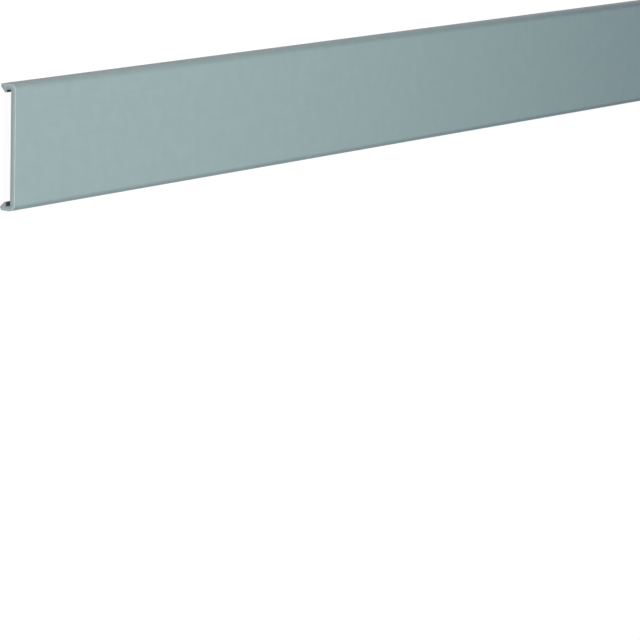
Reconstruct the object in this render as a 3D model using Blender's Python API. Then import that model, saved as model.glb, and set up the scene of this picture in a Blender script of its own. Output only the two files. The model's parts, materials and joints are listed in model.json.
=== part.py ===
"""Press-on cover for a 40 mm wide slotted wiring duct: one PVC extrusion, 2 m long.

The cover lies with its two legs down and its plain outer face up.
X runs along the length, Y across the width and Z up.
The origin is on the floor, under the middle of the cover.
Sizes are in metres, written here as millimetres times MM.
"""

import math

import bmesh
import bpy
from mathutils import Matrix, Vector

MM = 0.001

# Driving dimensions of the extrusion
LENGTH = 2000.0 * MM
WIDTH = 40.0 * MM
HEIGHT = 5.4 * MM
WALL = 1.7 * MM

# Snap lip along the foot of each leg, measured inwards from the leg's outer side
LIP_REACH = 2.8 * MM
FOOT_WIDTH = 1.0 * MM
LATCH_DEPTH = 3.25 * MM  # from the outer face down to the edge that catches the duct
LATCH_THICKNESS = 0.55 * MM  # straight nose of the lip, between its catch and its ramp

# Corner radii of the extrusion die
OUTER_RADIUS = 2.1 * MM
INNER_RADIUS = 0.4 * MM
FOOT_OUTER_RADIUS = 0.6 * MM
FOOT_INNER_RADIUS = 0.3 * MM
RAMP_RADIUS = 0.3 * MM
NOSE_RADIUS = 0.15 * MM
POCKET_RADIUS = 0.2 * MM

# How finely an arc is cut into straight edges
ARC_STEP = math.radians(9.0)
SMOOTH_ANGLE = math.radians(25.0)

# Stone grey PVC, semi-matt from the extrusion die
PVC_COLOUR = (0.228, 0.284, 0.292, 1.0)
PVC_ROUGHNESS = 0.48


def clear_scene():
    """Takes the startup objects away."""
    for obj in list(bpy.data.objects):
        bpy.data.objects.remove(obj)


def rounded_corner(before, corner, after, radius):
    """Points of the arc that rounds a corner on the way from one neighbour to the next."""
    arriving = (corner - before).normalized()
    leaving = (after - corner).normalized()
    turn = math.atan2(arriving.cross(leaving), arriving.dot(leaving))
    inward = Vector((-arriving.y, arriving.x)) * math.copysign(radius, turn)
    start = corner - arriving * radius * math.tan(abs(turn) / 2)
    centre = start + inward
    steps = math.ceil(abs(turn) / ARC_STEP)
    points = []
    for step in range(steps + 1):
        points.append(centre - Matrix.Rotation(turn * step / steps, 2) @ inward)
    return points


def leg_corners():
    """Sharp corners of one leg as (y, z, radius), from the outer face round to the web's underside."""
    half = WIDTH / 2
    latch = HEIGHT - LATCH_DEPTH
    nose = half - LIP_REACH
    return [
        (half, HEIGHT, OUTER_RADIUS),
        (half, 0.0, FOOT_OUTER_RADIUS),
        (half - FOOT_WIDTH, 0.0, FOOT_INNER_RADIUS),
        (nose, latch - LATCH_THICKNESS, RAMP_RADIUS),
        (nose, latch, NOSE_RADIUS),
        (half - WALL, latch, POCKET_RADIUS),
        (half - WALL, HEIGHT - WALL, INNER_RADIUS),
    ]


def section_outline():
    """The closed outline of the cover's section in the YZ plane, with every corner rounded."""
    right = leg_corners()
    left = [(-y, z, radius) for y, z, radius in reversed(right)]
    corners = right + left
    outline = []
    for index, (y, z, radius) in enumerate(corners):
        before = Vector(corners[index - 1][:2])
        after = Vector(corners[(index + 1) % len(corners)][:2])
        outline += rounded_corner(before, Vector((y, z)), after, radius)
    return outline


def extruded_cover(outline):
    """The section drawn along X, from one square saw cut to the other."""
    mesh = bpy.data.meshes.new("duct_cover")
    section = bmesh.new()
    ring = [section.verts.new((-LENGTH / 2, y, z)) for y, z in outline]
    near_end = section.faces.new(ring)
    drawn = bmesh.ops.extrude_face_region(section, geom=[near_end], use_keep_orig=True)
    far_ring = [item for item in drawn["geom"] if isinstance(item, bmesh.types.BMVert)]
    bmesh.ops.translate(section, verts=far_ring, vec=(LENGTH, 0.0, 0.0))
    bmesh.ops.recalc_face_normals(section, faces=section.faces)
    section.to_mesh(mesh)
    section.free()
    mesh.shade_smooth()
    mesh.set_sharp_from_angle(angle=SMOOTH_ANGLE)
    return mesh


def pvc_material():
    """Stone grey PVC, coloured all through."""
    material = bpy.data.materials.new("stone_grey_pvc")
    material.use_nodes = True
    shader = material.node_tree.nodes["Principled BSDF"]
    shader.inputs["Base Color"].default_value = PVC_COLOUR
    shader.inputs["Roughness"].default_value = PVC_ROUGHNESS
    shader.inputs["Metallic"].default_value = 0.0
    return material


def main():
    clear_scene()
    cover = bpy.data.objects.new("duct_cover", extruded_cover(section_outline()))
    cover.data.materials.append(pvc_material())
    bpy.context.scene.collection.objects.link(cover)


main()
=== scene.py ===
# %% [markdown]
# # A press-on cover for wiring duct
#
# The object is one length of hard plastic, pushed through a die and sawn off: a flat web, two rounded
# long edges, and two short legs whose feet turn inwards as snap lips. It lies on its feet, face up.
#
# Its solid arrives as a fixed frame. The frame is loaded first, because every size that follows is
# read from it or hangs on it. The box it fills is kept.

# %% Load the frame
import json
import math
from typing import NamedTuple

import bmesh
import bpy
import numpy as np
from mathutils import Matrix, Vector


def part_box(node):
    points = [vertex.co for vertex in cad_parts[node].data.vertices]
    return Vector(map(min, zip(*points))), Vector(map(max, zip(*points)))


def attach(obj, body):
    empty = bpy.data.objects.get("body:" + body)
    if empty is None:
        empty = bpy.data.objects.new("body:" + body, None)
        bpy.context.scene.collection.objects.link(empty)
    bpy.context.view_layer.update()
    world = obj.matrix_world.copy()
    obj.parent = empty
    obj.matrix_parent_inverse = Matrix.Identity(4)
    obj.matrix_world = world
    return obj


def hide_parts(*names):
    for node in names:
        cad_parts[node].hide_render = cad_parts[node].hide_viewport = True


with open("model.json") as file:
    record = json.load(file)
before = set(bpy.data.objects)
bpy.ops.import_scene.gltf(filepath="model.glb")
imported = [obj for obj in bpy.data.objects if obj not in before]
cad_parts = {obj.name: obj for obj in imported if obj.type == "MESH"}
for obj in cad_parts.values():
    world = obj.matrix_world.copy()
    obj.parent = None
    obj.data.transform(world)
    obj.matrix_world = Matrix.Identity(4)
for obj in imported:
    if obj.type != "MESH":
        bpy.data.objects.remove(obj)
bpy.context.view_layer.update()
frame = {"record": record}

# %% [markdown]
# ## The sizes of the section
#
# An extrusion is known by its section: once that is drawn, the rest is length. The outer sizes come
# from the solid's box, and the wall and the reach of the lips from the faces that the duct touches,
# which the record lists as mounts. The die's corner radii are not in the record, so they are named here.

# %% Sizes
MM = 0.001

low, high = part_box("duct_cover")
LENGTH, WIDTH, HEIGHT = high - low
touching = {mount["name"]: mount["pos_m"] for mount in frame["record"]["mounts"]}
WALL = WIDTH / 2 - touching["wall_left"][1]
LIP_REACH = WIDTH / 2 - touching["nose_left"][1]

FOOT_WIDTH = 1.0 * MM
LATCH_DEPTH = 3.25 * MM
LATCH_THICKNESS = 0.55 * MM
OUTER_RADIUS = 2.1 * MM
INNER_RADIUS = 0.4 * MM
FOOT_INNER_RADIUS = 0.3 * MM
RAMP_RADIUS = 0.3 * MM
NOSE_RADIUS = 0.15 * MM
POCKET_RADIUS = 0.2 * MM

print(f"section {WIDTH / MM:.1f} x {HEIGHT / MM:.1f} mm, wall {WALL / MM:.2f} mm, "
      f"lips reach in {LIP_REACH / MM:.2f} mm, length {LENGTH:.2f} m")

# %% [markdown]
# ## Half a section, as two chains
#
# The section could be one closed outline. Here each half of it is two chains that start together under
# the foot and run side by side to the middle of the web. The outer chain goes up the leg and over the
# face. The inner chain goes along the foot, round the lip and under the web. Kept apart, they also tell
# which point faces which across the wall, and that is what the cut ends need later.
#
# Each chain is listed as sharp corners with a radius. The two legs are not quite mirror images, because
# the die's two sides are cut and worn separately, so what differs between them is left open.

# %% Corners of a half, as (across, up, radius)
half = WIDTH / 2
latch = HEIGHT - LATCH_DEPTH


class Leg(NamedTuple):
    """What differs from leg to leg."""

    foot_radius: float  # outer corner of the foot
    wall: float
    reach: float  # of the lip, from the outer side of the leg
    catch: float  # height of the lip's upper side


def outer_corners(leg):
    """Foot, long edge, middle of the face."""
    return np.array([
        (half - leg.foot_radius, 0.0, 0.0),
        (half, 0.0, leg.foot_radius),
        (half, HEIGHT, OUTER_RADIUS),
        (0.0, HEIGHT, 0.0),
    ])


def inner_corners(leg):
    """Foot, ramp, nose and catch of the lip, inner side of the leg, middle of the web's underside."""
    return np.array([
        (half - leg.foot_radius, 0.0, 0.0),
        (half - FOOT_WIDTH, 0.0, FOOT_INNER_RADIUS),
        (half - leg.reach, latch - LATCH_THICKNESS, RAMP_RADIUS),
        (half - leg.reach, leg.catch, NOSE_RADIUS),
        (half - leg.wall, leg.catch, POCKET_RADIUS),
        (half - leg.wall, HEIGHT - WALL, INNER_RADIUS),
        (0.0, HEIGHT - WALL, 0.0),
    ])


print(f"web underside at {(HEIGHT - WALL) / MM:.2f} mm, catch at {latch / MM:.2f} mm above the floor")

# %% [markdown]
# ## Rounding the corners
#
# A Bevel modifier could round a sharp outline, but it would not say where each arc starts. The arcs are
# worked out instead. An arc of radius r that turns a corner by the angle a begins r * tan(a / 2) before
# the corner, and its points are the first spoke turned about the centre by shares of a.
#
# Each chain becomes one dense line with the length run so far beside every point. Any number of points
# can then be read from it with np.interp, evenly or not.

# %% A rounded chain
ARC_POINTS = 49


def rounded_chain(corners):
    """A chain of straight runs and arcs.

    For every inner corner, with a the angle from the direction of arriving to that of leaving:
    start = corner - arriving * r * tan(|a| / 2), spoke = left of arriving * r, signed like a,
    and the arc is start + spoke - (spoke turned by t * a), for t from 0 to 1.
    Returns the points, their length along the chain, and that length at the ends of every arc.
    """
    places, radii = corners[:, :2], corners[1:-1, 2, None]
    steps = np.diff(places, axis=0)
    directions = steps / np.linalg.norm(steps, axis=1)[:, None]
    arriving, leaving = directions[:-1], directions[1:]
    crossed = arriving[:, 0] * leaving[:, 1] - arriving[:, 1] * leaving[:, 0]
    angle = np.arctan2(crossed, (arriving * leaving).sum(1))
    start = places[1:-1] - arriving * radii * np.tan(np.abs(angle) / 2)[:, None]
    spoke = np.stack([-arriving[:, 1], arriving[:, 0]], 1) * radii * np.sign(angle)[:, None]
    turned = angle[:, None] * np.linspace(0, 1, ARC_POINTS)
    cosine, sine = np.cos(turned)[..., None], np.sin(turned)[..., None]
    across = np.stack([-spoke[:, 1], spoke[:, 0]], 1)[:, None]
    arcs = (start + spoke)[:, None] - (spoke[:, None] * cosine + across * sine)
    points = np.vstack([places[:1], arcs.reshape(-1, 2), places[-1:]])
    run = np.concatenate([[0], np.cumsum(np.linalg.norm(np.diff(points, axis=0), axis=1))])
    arc_ends = run[1:-1].reshape(-1, ARC_POINTS)[:, [0, -1]]
    return points, run, arc_ends


trial_corner = np.array([(0, 0, 0), (2, 0, 1), (2, 2, 0)]) * MM
trial_arc = rounded_chain(trial_corner)[2][0]
print(f"a right angle rounded to 1 mm has an arc of {np.ptp(trial_arc) / MM:.3f} mm")

# %% [markdown]
# ## Which point faces which
#
# A ruling is a straight line across the wall, from the outer to the inner chain. The rulings must not
# cross, nor leave the plastic where the lip hooks round its pocket. So the two arcs of the long edge are
# paired with each other, and every corner of the lip is given a height on the plain outer side of the
# leg. Everything between two such pairs is shared out evenly. The heights are those for the drawn catch,
# and where a leg's catch sits lower, they come down with it.
#
# The right foot has kept its crisp outer corner, and its pocket is small. On the left the foot is well
# rounded, the leg is thinner, and the lip has a lower catch and reaches a little further in.

# %% Points of both chains, in pairs
RULING_HEIGHTS = np.array([1.0, 1.4, 1.6, 1.75, 1.86, 1.98, 2.36]) * MM
STEPS = [8, 5, 10, 4, 3, 4, 5, 5, 6, 18, 64]  # from the foot to the long edge, and last the web
RIGHT_LEG = Leg(foot_radius=0.2 * MM, wall=WALL + 0.15 * MM, reach=LIP_REACH, catch=latch - 0.12 * MM)
LEFT_LEG = Leg(foot_radius=0.8 * MM, wall=WALL - 0.15 * MM, reach=LIP_REACH + 0.05 * MM,
               catch=latch - 0.22 * MM)


def read_chain(points, run, marks):
    """Points of a chain, with each stretch between two marks cut into its number of steps."""
    counts = np.concatenate([[0], np.cumsum(STEPS)])
    lengths = np.interp(np.arange(counts[-1] + 1), counts, marks)
    return np.stack([np.interp(lengths, run, points[:, axis]) for axis in (0, 1)], 1)


def half_section(leg):
    """The outer and inner points of the right half, in pairs from the foot to the middle of the web."""
    outer, outer_run, outer_arcs = rounded_chain(outer_corners(leg))
    inner, inner_run, inner_arcs = rounded_chain(inner_corners(leg))
    side = outer_arcs[1, 0] - (HEIGHT - OUTER_RADIUS - RULING_HEIGHTS * leg.catch / latch)
    outer_marks = np.concatenate([[0], outer_arcs[0, 1:], side, outer_arcs[1], outer_run[-1:]])
    inner_marks = np.concatenate([[0], inner_arcs.ravel(), inner_run[-1:]])
    return read_chain(outer, outer_run, outer_marks), read_chain(inner, inner_run, inner_marks)


def whole_side(right, left):
    """The right half, then the left one turned to -y, backwards and without the shared middle point."""
    return np.vstack([right, (left * (-1, 1))[-2::-1]])


right_half, left_half = half_section(RIGHT_LEG), half_section(LEFT_LEG)
outer_side, inner_side = (whole_side(right, left) for right, left in zip(right_half, left_half))
PAIRS = len(outer_side)
print(f"{PAIRS} rulings from foot to foot")

# %% [markdown]
# ## One loop, and which way is out
#
# Going out along the outer side and back along the inner one closes the section. The two sides share
# their first and last point, so the way back leaves those out. At every point the outward normal is the
# direction from the previous to the next point, turned a quarter turn. The loop is drawn anticlockwise
# as seen against X, so that quarter turn is to the right.

# %% The closed loop of the section
loop = np.vstack([outer_side, inner_side[-2:0:-1]])


def outward(points):
    """Unit normals of a closed loop: (next - previous) turned clockwise by 90 degrees."""
    chord = np.roll(points, -1, axis=0) - np.roll(points, 1, axis=0)
    normal = np.stack([chord[:, 1], -chord[:, 0]], 1)
    return normal / np.linalg.norm(normal, axis=1)[:, None]


around = np.concatenate([[0], np.cumsum(np.linalg.norm(np.diff(loop, axis=0), axis=1))])
signed_area = 0.5 * np.sum(loop[:, 0] * np.roll(loop[:, 1], -1) - loop[:, 1] * np.roll(loop[:, 0], -1))
print(f"loop of {len(loop)} points, {signed_area / MM**2:+.2f} mm2 (plus means anticlockwise)")

# %% [markdown]
# ## What the die and the cooling leave
#
# No extrusion is as true as its drawing. The plastic shrinks where it is thickest, so a shallow sink
# line shows on the face above each leg, and the face between them dishes by a few hundredths of a
# millimetre. Wear in the die leaves fine lines that run down the whole length. One leg cooled a little
# later than the other and has drawn inwards at its foot.
#
# All of this belongs to the section, so it is put into the loop before that is drawn out.

# %% Relief of the section
FACE_HALF = WIDTH / 2 - OUTER_RADIUS  # of the flat face between the two long edges
SINK_PLACE = FACE_HALF - 0.5 * MM
SINK_WIDTH = 0.7 * MM
SINK_DEPTH = 0.022 * MM
DISH_DEPTH = 0.03 * MM
DIE_LINE_WIDTH = 0.35 * MM
DIE_LINE_DEPTH = 0.0035 * MM
LEAN = 0.34 * MM
LEAN_POWER = 2.6


def random_heights(distance, width, seed):
    """Smooth random heights along a loop: one number every width, joined by a cosine ease."""
    heights = np.random.default_rng(seed).uniform(-1, 1, int(distance[-1] / width) + 2)
    cell, share = np.divmod(distance / width, 1)
    cell = cell.astype(int)
    ease = (1 - np.cos(np.pi * share)) / 2
    return heights[cell] * (1 - ease) + heights[cell + 1] * ease


def section_relief(points):
    """Height above the drawn section: on the outer face minus a bell curve at each sink line and minus a
    parabola for the dish, and everywhere minus the die lines, which never stand proud of the drawing."""
    across, up = points.T
    on_face = (up > HEIGHT - WALL / 2) & (np.abs(across) < FACE_HALF)
    sink = SINK_DEPTH * np.exp(-(((np.abs(across) - SINK_PLACE) / SINK_WIDTH) ** 2))
    dish = DISH_DEPTH * (1 - (across / FACE_HALF) ** 2)
    lines = DIE_LINE_DEPTH * (1 + random_heights(around, DIE_LINE_WIDTH, seed=5))
    return -np.where(on_face, sink + dish, 0) - lines


def left_leg_drawn_in(points):
    """y + LEAN * (1 - z / knee) ** LEAN_POWER on the left, where the knee is the top of the leg's side."""
    across, up = points.T
    below_knee = np.clip(1 - up / (HEIGHT - OUTER_RADIUS), 0, 1) * (across < 0)
    return np.stack([across + LEAN * below_knee**LEAN_POWER, up], 1)


relief = section_relief(loop)
drawn_loop = left_leg_drawn_in(loop + outward(loop) * relief[:, None])
print(f"relief from {relief.min() / MM:.3f} to {relief.max() / MM:.3f} mm")

# %% [markdown]
# ## Drawing it out
#
# The body of the cover is a surface of two parameters: how far round the loop, and how far along X. The
# saw leaves sharp edges and someone breaks them with a scraper, so near each end the loop shrinks
# inwards by a quarter circle. The outside of the section gets most of it. Inside the lips the tool
# barely reaches. The radius wanders a little, because a hand does that work.
#
# Far from the ends nothing changes along X, so the rings there can stand far apart.

# %% The swept body
RIM_OUTSIDE = 0.20 * MM
RIM_INSIDE = 0.09 * MM
RIM_START, RIM_FULL = 0.5 * MM, 1.5 * MM  # heights on the outer side between which it widens
RIM_WANDER = 0.04 * MM
RIM_WANDER_LENGTH = 2.3 * MM
RIM_RINGS = 6
RING_SPACING = 20.0 * MM
FIRST_RINGS = np.array([0.25, 0.6, 1.5, 4.0, 10.0]) * MM  # after the rim, before the even spacing

on_outside = np.arange(len(loop)) < PAIRS
widening = np.clip((loop[:, 1] - RIM_START) / (RIM_FULL - RIM_START), 0, 1) * on_outside
wandering = RIM_OUTSIDE - RIM_INSIDE + RIM_WANDER * random_heights(around, RIM_WANDER_LENGTH, seed=11)
rim = RIM_INSIDE + wandering * widening


def half_rings():
    """Distance from the cut and inward offset for every ring of one end, both as (ring, loop point).

    On the rim, with p from 0 to 90 degrees: distance = r * (1 - cos p), offset = r * (1 - sin p).
    """
    p = np.linspace(0, np.pi / 2, RIM_RINGS)[:, None]
    rim_distance, rim_offset = rim * (1 - np.cos(p)), rim * (1 - np.sin(p))
    count = round((LENGTH / 2 - FIRST_RINGS[-1]) / RING_SPACING)
    even = np.linspace(FIRST_RINGS[-1], LENGTH / 2, count + 1)[1:]
    straight = np.concatenate([FIRST_RINGS, even])[:, None] + np.zeros_like(rim)
    return np.vstack([rim_distance, straight]), np.vstack([rim_offset, np.zeros_like(straight)])


distance, offset = half_rings()
normals = outward(drawn_loop)
print(f"{2 * len(distance) - 1} rings of {len(loop)} points, "
      f"rim {rim.min() / MM:.2f} to {rim.max() / MM:.2f} mm")

# %% [markdown]
# ## The saw's marks
#
# A circular saw cut the length off, and its teeth left shallow arcs across the cut face. They are rings
# about the blade's centre, some way below the cover, so their height depends only on the distance from
# it. The marks go into the plastic, never out of it, so the cover keeps its length. They fade over the
# broken edge, where the scraper took them off.

# %% Depth of the saw marks
BLADE_CENTRE = np.array([62.0, -118.0]) * MM
TOOTH_SPACING = 1.3 * MM
TOOTH_DEPTH = 0.009 * MM


def saw_depth(points):
    """Depth below the cut plane: a raised cosine of the distance from the blade's centre."""
    radius = np.linalg.norm(points - BLADE_CENTRE, axis=-1)
    return TOOTH_DEPTH * (1 + np.cos(2 * np.pi * radius / TOOTH_SPACING)) / 2


def end_grid(side):
    """Rings of the half of the body on one side (-1 or +1), as an array of (ring, loop point, xyz)."""
    section = drawn_loop - offset[..., None] * normals
    fading = np.clip(offset / rim, 0, 1)
    along = LENGTH / 2 - distance - saw_depth(section) * fading
    return np.concatenate([side * along[..., None], section], axis=2)


near_rings, far_rings = end_grid(-1), end_grid(+1)
body_grid = np.concatenate([near_rings, far_rings[-2::-1]])
print("body grid:", body_grid.shape)

# %% [markdown]
# ## The cut faces
#
# A flat many-sided face could close each end, but Blender would split it into long thin triangles that
# shade badly. The rulings give a clean grid instead: one parameter runs along the strip from foot to
# foot, the other across the wall. Its border is exactly the first ring of the rim, so the two join with
# no gap.

# %% A grid over each cut
ACROSS_WALL = 9


def cut_grid(side):
    """Points of a cut: outer point * (1 - v) + inner point * v, for v from 0 to 1 across the wall,
    pushed in from the cut plane by the saw's depth."""
    border = drawn_loop - rim[:, None] * normals
    outer = border[:PAIRS]
    inner = np.vstack([border[:1], border[:PAIRS - 2:-1]])
    v = np.linspace(0, 1, ACROSS_WALL)[:, None, None]
    section = outer * (1 - v) + inner * v
    along = side * (LENGTH / 2 - saw_depth(section))
    return np.concatenate([along[..., None], section], axis=2)


near_cut, far_cut = cut_grid(-1), cut_grid(+1)
print("cut grids:", near_cut.shape, "and", far_cut.shape)

# %% [markdown]
# ## From grids to one closed mesh
#
# A grid of points becomes faces by joining each point to its right and upper neighbours. The faces are
# found with whole arrays of point numbers, and handed to the mesh in one go. Merging the points that
# the grids share then closes the seams. Last, the normals are worked out afresh, which turns every face
# outwards on a closed shell.
#
# Every point also carries one number, `into_wall`: 0 on the outer skin, 1 on the inner one, and the share
# across the wall on a cut. A shader can't know which side of a thin wall it is on, and this tells it.

# %% Grids into a mesh
MERGE_DISTANCE = 0.001 * MM
SHORTEST_EDGE = 0.0001 * MM


def grid_faces(rows, columns, first, closed):
    """Four point numbers for each cell of a grid: (i, j), (i, j + 1), (i + 1, j + 1), (i + 1, j)."""
    number = first + np.arange(rows * columns).reshape(rows, columns)
    right = np.roll(number, -1, axis=1)
    cells = np.stack([number[:-1], right[:-1], right[1:], number[1:]], axis=-1)
    return (cells if closed else cells[:, :-1]).reshape(-1, 4)


def mesh_of_grids(name, grids):
    """One mesh from (grid, into_wall, closed) triples, its shared points merged and its faces out."""
    points, depths, faces, first = [], [], [], 0
    for grid, into_wall, closed in grids:
        rows, columns = grid.shape[:2]
        points.append(grid.reshape(-1, 3))
        depths.append(np.broadcast_to(into_wall, (rows, columns)).ravel())
        faces.append(grid_faces(rows, columns, first, closed))
        first += rows * columns
    mesh = bpy.data.meshes.new(name)
    mesh.from_pydata(np.vstack(points), [], np.vstack(faces).tolist())
    mesh.attributes.new("into_wall", "FLOAT", "POINT").data.foreach_set("value", np.concatenate(depths))
    return close_seams(mesh)


def close_seams(mesh):
    """Merges the points that two grids share, drops cells that have shrunk to nothing, faces out."""
    shell = bmesh.new()
    shell.from_mesh(mesh)
    bmesh.ops.remove_doubles(shell, verts=shell.verts, dist=MERGE_DISTANCE)
    bmesh.ops.dissolve_degenerate(shell, dist=SHORTEST_EDGE, edges=shell.edges)
    bmesh.ops.recalc_face_normals(shell, faces=shell.faces)
    open_edges = sum(not edge.is_manifold for edge in shell.edges)
    print(f"{mesh.name}: {len(shell.verts)} points, {len(shell.faces)} faces, {open_edges} open edges, "
          f"{shell.calc_volume(signed=True) / MM**3:.0f} mm3")
    shell.to_mesh(mesh)
    shell.free()
    mesh.shade_smooth()
    return mesh


skin_side = np.where(on_outside, 0.0, 1.0)
share_across = np.linspace(0, 1, ACROSS_WALL)[:, None]
cover_mesh = mesh_of_grids("cover_extrusion", [
    (body_grid, skin_side, True), (near_cut, share_across, False), (far_cut, share_across, False)])

# %% [markdown]
# ## Putting it on the frame
#
# The new surface takes the place of the plain solid, which stays for the physics. The piece's object
# stays at the origin, because its place is already in its points.

# %% The finished piece
cover = bpy.data.objects.new("cover_extrusion", cover_mesh)
bpy.context.scene.collection.objects.link(cover)
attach(cover, "root")
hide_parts("duct_cover")
print(f"{cover.name} stands in for duct_cover, its object at {tuple(cover.location)}")

# %% [markdown]
# ## Shader sums in plain Python
#
# A material is a net of nodes, and a net built by hand is hard to read. Two small classes help. `Wire`
# holds one output and turns `+`, `-` and `*` into Math nodes, with a number on either side. `Finish`
# adds every other node through one method: the kind of node, its settings, then what goes into its
# sockets.

# %% Wires and finishes
class Wire:
    """One output of a node, for use in Python sums."""

    def __init__(self, finish, socket):
        self.finish = finish
        self.socket = socket

    def output(self, name):
        """Another output of the same node."""
        return Wire(self.finish, self.socket.node.outputs[name])

    def math(self, operation, first, second=0.0):
        return self.finish.node("ShaderNodeMath", {"operation": operation}, {0: first, 1: second})

    def __add__(self, other):
        return self.math("ADD", self, other)

    def __radd__(self, other):
        return self.math("ADD", other, self)

    def __sub__(self, other):
        return self.math("SUBTRACT", self, other)

    def __rsub__(self, other):
        return self.math("SUBTRACT", other, self)

    def __mul__(self, other):
        return self.math("MULTIPLY", self, other)

    def __rmul__(self, other):
        return self.math("MULTIPLY", other, self)

    def __abs__(self):
        return self.math("ABSOLUTE", self)


class Finish:
    """A material and its nodes."""

    def __init__(self, name):
        self.material = bpy.data.materials.new(name)
        self.material.use_nodes = True
        self.nodes = self.material.node_tree.nodes
        self.shader = self.nodes["Principled BSDF"]

    def node(self, kind, settings, sockets, output=0):
        """Adds a node: settings first, then a value or a wire for each named or numbered socket."""
        node = self.nodes.new(kind)
        for name, value in settings.items():
            setattr(node, name, value)
        for name, value in sockets.items():
            self.feed(node, name, value)
        return Wire(self, node.outputs[output])

    def feed(self, node, name, value):
        """Links a wire to a socket, or sets the socket to a value."""
        if isinstance(value, Wire):
            self.material.node_tree.links.new(value.socket, node.inputs[name])
        else:
            node.inputs[name].default_value = value


print("wires add, subtract and multiply; a finish adds every other node")

# %% [markdown]
# ## Helpers that name what a pattern is for
#
# Three patterns come back again and again: a noise of a given grain, the same noise drawn out along the
# cover into lines, and a soft step between two distances. Each reads Object coordinates in metres, so a
# grain of two millimetres is two millimetres on the plastic. A fourth helper mixes two colours.

# %% Patterns
def noise(finish, place, grain, detail=2.0):
    """Noise from 0 to 1 whose blotches are about one grain wide."""
    return finish.node("ShaderNodeTexNoise", {}, {"Vector": place, "Scale": 1 / grain, "Detail": detail})


def drawn_out(finish, place, stretch):
    """Coordinates shrunk along X, which draws any pattern out into lines down the length."""
    shrink = (1 / stretch, 1, 1)
    return finish.node("ShaderNodeVectorMath", {"operation": "MULTIPLY"}, {0: place, 1: shrink})


def soft_step(finish, value, start, end):
    """0 up to start, 1 from end on, and an S-curve between them."""
    sockets = {"Value": value, "From Min": start, "From Max": end}
    return finish.node("ShaderNodeMapRange", {"interpolation_type": "SMOOTHSTEP"}, sockets)


def blend(finish, factor, first, second):
    """Colour that goes from first to second as factor goes from 0 to 1."""
    sockets = {"Factor": factor, 6: first, 7: second}  # 6 and 7 are the colour sockets A and B
    return finish.node("ShaderNodeMix", {"data_type": "RGBA"}, sockets, output=2)


print(f"a grain of 2 mm is a noise scale of {1 / (2 * MM):.0f} to the metre")

# %% [markdown]
# ## Stone grey PVC
#
# The plastic is coloured all through, so there is no paint to chip. The pigment is mixed well but not
# perfectly, and leaves clouds and streaks that are barely lighter or darker. The cut is painted lighter
# than the skin, partly the saw's whitening and partly painted light, and darker towards the inner edge of
# the wall as painted shade. The broken edge shows as a thin pale line, part whitening and part painted
# highlight.
#
# Five blends give that colour. The first mixes the two greys of the skin, the second adds the pale line on
# the skin's side of the edge, the third runs across the sawn wall by `into_wall` from painted light to
# painted shade, the fourth adds the pale line on the cut, and the last picks the skin or the cut.

# %% The colour of skin and cut
PVC_LIGHT = (0.200, 0.256, 0.261, 1.0)
PVC_DARK = (0.183, 0.237, 0.247, 1.0)
MOTTLE_RANGE = (0.3, 0.7)  # of the noise, from all dark to all light
# The cut is painted lighter than the skin, partly its whitening and partly painted light; towards the inner
# edge it is painted darker as painted shade.
CUT_OUTSIDE_WHITENED_AND_LIT = (0.315, 0.400, 0.402, 1.0)
CUT_INSIDE_PAINTED_SHADE = (0.242, 0.286, 0.290, 1.0)
# The pale edge colour: part whitening where the edge was scraped, part painted highlight.
RIM_WHITENING_AND_HIGHLIGHT = (0.345, 0.420, 0.425, 1.0)
RIM_PALE_WIDTH = 0.22 * MM  # on the skin, from the cut plane
RIM_PALE_CORE = 0.4 * RIM_PALE_WIDTH  # fully pale so far
RIM_PALE_RAG = 0.5 * RIM_PALE_WIDTH
RIM_PALE_SHARE = 0.26  # of the wall, on the cut
SKIN_RIM_STRENGTH, CUT_RIM_STRENGTH = 0.8, 0.6
RAG_GRAIN = 1.6 * MM


def pvc_colour(finish, place, from_end, on_cut, mottling):
    """Base colour, from the place, the distance to the nearer end, 1 on a cut, and a noise; the cut holds
    painted light and shade, and the pale edge line is part painted highlight.
    """
    into_wall = finish.node("ShaderNodeAttribute", {"attribute_name": "into_wall"}, {}, output="Fac")
    ragged = from_end - (noise(finish, place, RAG_GRAIN) - 0.5) * RIM_PALE_RAG
    skin_edge_whitening_and_highlight = 1 - soft_step(finish, ragged, RIM_PALE_CORE, RIM_PALE_WIDTH)
    cut_edge_whitening_and_highlight = soft_step(finish, into_wall, RIM_PALE_SHARE, 0.0)

    mixed = blend(finish, soft_step(finish, mottling, *MOTTLE_RANGE), PVC_DARK, PVC_LIGHT)
    # the pale edge line on the skin: part whitening, part painted highlight
    skin = blend(finish, SKIN_RIM_STRENGTH * skin_edge_whitening_and_highlight * (1 - into_wall), mixed, RIM_WHITENING_AND_HIGHLIGHT)
    # across the sawn wall: painted light near the skin, painted shade towards the inside
    sawn = blend(finish, into_wall, CUT_OUTSIDE_WHITENED_AND_LIT, CUT_INSIDE_PAINTED_SHADE)
    # the same pale edge line on the cut: part whitening, part painted highlight
    cut = blend(finish, CUT_RIM_STRENGTH * cut_edge_whitening_and_highlight, sawn, RIM_WHITENING_AND_HIGHLIGHT)
    return blend(finish, on_cut, skin, cut)


print(f"pale line {RIM_PALE_WIDTH / MM:.2f} mm wide on the skin, "
      f"{RIM_PALE_SHARE * WALL / MM:.2f} mm on the cut")

# %% [markdown]
# The surface is semi-matt, with faint lines from the die and a soft unevenness where it touched the cooling
# rollers. Roughness follows the same clouds and streaks as the colour, and rises where the saw left the
# plastic rough. The bump adds up the die's lines, the unevenness and the streaks, by their shares.

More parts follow.
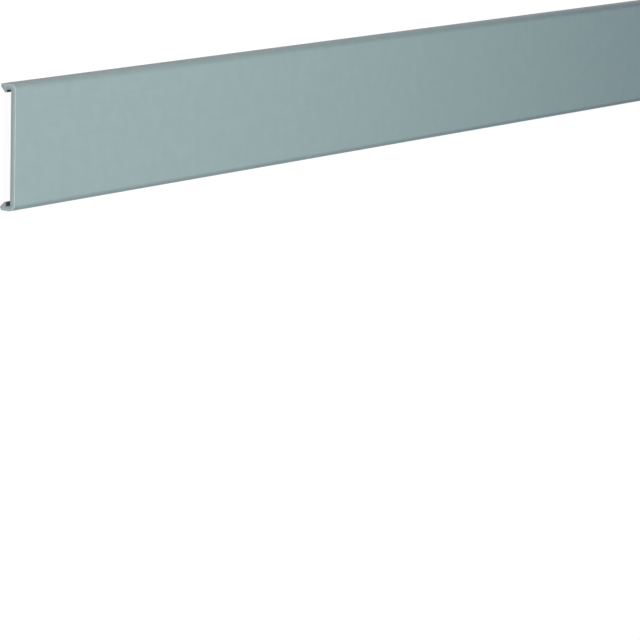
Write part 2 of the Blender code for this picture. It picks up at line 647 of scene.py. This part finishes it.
# %% The finish of the cover
CUT_SKIN = (0.02 * MM, 0.05 * MM)  # from the cut plane, where the sawn finish gives way to the skin's
CLOUD_GRAIN = 6.0 * MM
CLOUD_SHARE, STREAK_SHARE = 0.6, 0.4  # of the mottled colour
STREAK_GRAIN, STREAK_STRETCH = 1.1 * MM, 60
LINE_GRAIN, LINE_STRETCH = 0.22 * MM, 200
PEEL_GRAIN = 0.9 * MM
ROUGHNESS, CUT_ROUGHER = 0.56, 0.18
ROUGHNESS_BY_STREAK, ROUGHNESS_BY_CLOUD = 0.10, 0.06
BUMP_OF_LINES, BUMP_OF_PEEL, BUMP_OF_STREAKS = 0.5, 0.3, 0.2
BUMP_HEIGHT = 0.006 * MM
BUMP_STRENGTH = 0.6


def pvc_finish():
    """Colour, roughness and bump from four noises and the distance to the nearer end."""
    finish = Finish("stone_grey_pvc_finish")
    place = finish.node("ShaderNodeTexCoord", {}, {}, output="Object")
    along = finish.node("ShaderNodeSeparateXYZ", {}, {"Vector": place})
    from_end = LENGTH / 2 - abs(along)
    on_cut = 1 - soft_step(finish, from_end, *CUT_SKIN)

    clouds = noise(finish, place, CLOUD_GRAIN, detail=3.0)
    streaks = noise(finish, drawn_out(finish, place, STREAK_STRETCH), STREAK_GRAIN, detail=3.0)
    fine_lines = noise(finish, drawn_out(finish, place, LINE_STRETCH), LINE_GRAIN, detail=1.0)
    peel = noise(finish, place, PEEL_GRAIN, detail=1.0)

    mottling = CLOUD_SHARE * clouds + STREAK_SHARE * streaks
    finish.feed(finish.shader, "Base Color", pvc_colour(finish, place, from_end, on_cut, mottling))

    skin = ROUGHNESS + ROUGHNESS_BY_STREAK * (streaks - 0.5) + ROUGHNESS_BY_CLOUD * (clouds - 0.5)
    finish.feed(finish.shader, "Roughness", skin + CUT_ROUGHER * on_cut)

    height = BUMP_OF_LINES * fine_lines + BUMP_OF_PEEL * peel + BUMP_OF_STREAKS * streaks
    sockets = {"Height": height, "Distance": BUMP_HEIGHT, "Strength": BUMP_STRENGTH}
    finish.feed(finish.shader, "Normal", finish.node("ShaderNodeBump", {}, sockets))
    return finish.material


cover_mesh.materials.append(pvc_finish())
print(f"{cover_mesh.materials[0].name}: {len(cover_mesh.materials[0].node_tree.nodes)} nodes")

# %% [markdown]
# ## Floor, light and camera
#
# The cover lies on white paper in light so strong that the picture loses the paper's own shading. An
# even glow gives that look. Light from the room gets only a few millimetres in under each cut, so the glow
# fades out beyond that, and what lies deeper between the legs stays as dark as it should be.

# %% The floor
FLOOR_HALF = 40.0
FLOOR_GAP = 0.02 * MM  # below the feet, so that the two don't share a plane
GLOW = (0.96, 0.96, 0.97, 1.0)
PAINTED_SHADOW = (0.0, 0.0, 0.0, 1.0)
PAPER_COLOUR = (0.06, 0.06, 0.06, 1.0)  # low, since the glow already gives its white
LIGHT_REACH = 8.0 * MM  # how far in from a cut the paper is still fully lit
LIGHT_FADE = 4.0 * MM


def floor_finish():
    """A dull surface whose white is its glow, which fades to a painted shadow under the cover."""
    finish = Finish("white_paper")
    place = finish.node("ShaderNodeTexCoord", {}, {}, output="Object")
    axes = finish.node("ShaderNodeSeparateXYZ", {}, {"Vector": place})
    inside_ends = soft_step(finish, LENGTH / 2 - abs(axes), LIGHT_REACH, LIGHT_REACH + LIGHT_FADE)
    inside_legs = soft_step(finish, half - abs(axes.output("Y")), 0.0, LIP_REACH)
    # the glow is painted out to black under the cover: a painted shadow
    finish.feed(finish.shader, "Emission Color", blend(finish, inside_ends * inside_legs, GLOW, PAINTED_SHADOW))
    finish.feed(finish.shader, "Emission Strength", 1.0)
    finish.feed(finish.shader, "Base Color", PAPER_COLOUR)
    finish.feed(finish.shader, "Roughness", 1.0)
    finish.feed(finish.shader, "Specular IOR Level", 0.0)
    return finish.material


floor_mesh = bpy.data.meshes.new("floor")
floor_corners = np.array([(-1, -1), (1, -1), (1, 1), (-1, 1)]) * FLOOR_HALF
floor_mesh.from_pydata([(x, y, -FLOOR_GAP) for x, y in floor_corners], [], [(0, 1, 2, 3)])
floor_mesh.materials.append(floor_finish())
floor = bpy.data.objects.new("floor", floor_mesh)
bpy.context.scene.collection.objects.link(floor)
print(f"under the cover the glow ends {(LIGHT_REACH + LIGHT_FADE) / MM:.0f} mm in from each cut")

# %% [markdown]
# A softbox hangs over the near end of the cover, so the face is brightest there and falls off along the
# length. A larger one past the far end is what the face reflects towards the camera. A low one in front
# lights the cut, and hardly reaches into the pockets behind the lips.
#
# Two more are held in a narrower angle, as by a grid in front of the box, so that each lights its own
# stretch: a weak one lifts the middle of what the camera sees, and a long strip keeps the rest of the cover
# from going dark. Both are left out of reflections, or their sheen would show as stripes.

# %% The lights
FULL_ANGLE, GRID_ANGLE = 180, 90  # degrees


def softbox(name, place, aim, size, power, colour, angle=FULL_ANGLE, reflected=True):
    """A rectangular area light of so many watts at place, turned to face aim."""
    lamp = bpy.data.lights.new(name, "AREA")
    lamp.shape = "RECTANGLE"
    lamp.size, lamp.size_y = size
    lamp.energy = power
    lamp.color = colour
    lamp.spread = math.radians(angle)
    lamp_object = bpy.data.objects.new(name, lamp)
    lamp_object.location = place
    lamp_object.rotation_euler = (Vector(aim) - Vector(place)).to_track_quat("-Z", "Y").to_euler()
    lamp_object.visible_glossy = reflected
    bpy.context.scene.collection.objects.link(lamp_object)
    print(f"{name}: {power} W from {np.linalg.norm(np.subtract(aim, place)):.2f} m")


near_end = -LENGTH / 2
near_cut_middle = (near_end, 0.0, 0.0)
view_middle = near_end + 0.2
strip_middle = 0.475
softbox("key_softbox", place=(near_end - 0.15, 0.12, 0.70), aim=near_cut_middle, size=(0.5, 0.5),
        power=8.35, colour=(1.0, 0.955, 0.90))
softbox("far_softbox", place=(1.3, -0.25, 1.6), aim=(-0.3, 0.0, 0.0), size=(0.9, 0.9),
        power=16.2, colour=(0.77, 0.965, 0.98))
softbox("front_softbox", place=(near_end - 1.0, 0.1, 0.14), aim=near_cut_middle, size=(0.4, 0.4),
        power=2.5, colour=(0.90, 1.0, 0.84))
softbox("middle_light", place=(view_middle, 0.1, 0.5), aim=(view_middle, 0.1, 0.0), size=(0.4, 0.4),
        power=0.18, colour=(0.71, 1.0, 0.64), angle=GRID_ANGLE, reflected=False)
softbox("strip_light", place=(strip_middle, 0.1, 0.25), aim=(strip_middle, 0.1, 0.0), size=(1.55, 0.3),
        power=2.4, colour=(1.0, 1.0, 0.96), angle=GRID_ANGLE, reflected=False)

# %% [markdown]
# The room adds a little cool light from everywhere. The plain view transform keeps the paper white.

# %% The room
ROOM_COLOUR = (0.1, 0.3, 1.0, 1.0)
ROOM_STRENGTH = 0.11

world = bpy.data.worlds.new("studio")
world.use_nodes = True
background = world.node_tree.nodes["Background"]
background.inputs["Color"].default_value = ROOM_COLOUR
background.inputs["Strength"].default_value = ROOM_STRENGTH
bpy.context.scene.world = world
bpy.context.scene.view_settings.view_transform = "Standard"
print("light from the room:", tuple(round(ROOM_STRENGTH * c, 3) for c in ROOM_COLOUR[:3]))

# %% [markdown]
# The camera stands well back, with a long lens, past the near end and a little above the cover. It looks
# down along the length, so the near end shows its section and the far end leaves the picture. It is
# placed by the point it aims at, its distance from that point, and three angles.

# %% The camera
LENS = 265.9  # focal length in mm, as is the sensor's width
SENSOR = 36.0
AIM = Vector((-0.7968, -0.0774, HEIGHT))
DISTANCE = 1.6621
LOOK_DOWN = math.radians(27.926)
HEADING = math.radians(-9.072)
ROLL = math.radians(1.123)

looking = Vector((math.cos(HEADING) * math.cos(LOOK_DOWN), math.sin(HEADING) * math.cos(LOOK_DOWN),
                  -math.sin(LOOK_DOWN)))
rightwards = looking.cross(Vector((0, 1, 0))).normalized()
upwards = rightwards.cross(looking)
stance = Matrix((rightwards, upwards, -looking)).transposed() @ Matrix.Rotation(ROLL, 3, "Z")

camera_data = bpy.data.cameras.new("camera")
camera_data.lens = LENS
camera_data.sensor_width = SENSOR
camera = bpy.data.objects.new("camera", camera_data)
camera.matrix_world = Matrix.Translation(AIM - looking * DISTANCE) @ stance.to_4x4()
bpy.context.scene.collection.objects.link(camera)
bpy.context.scene.camera = camera
print("camera at", tuple(round(v, 3) for v in camera.matrix_world.translation))
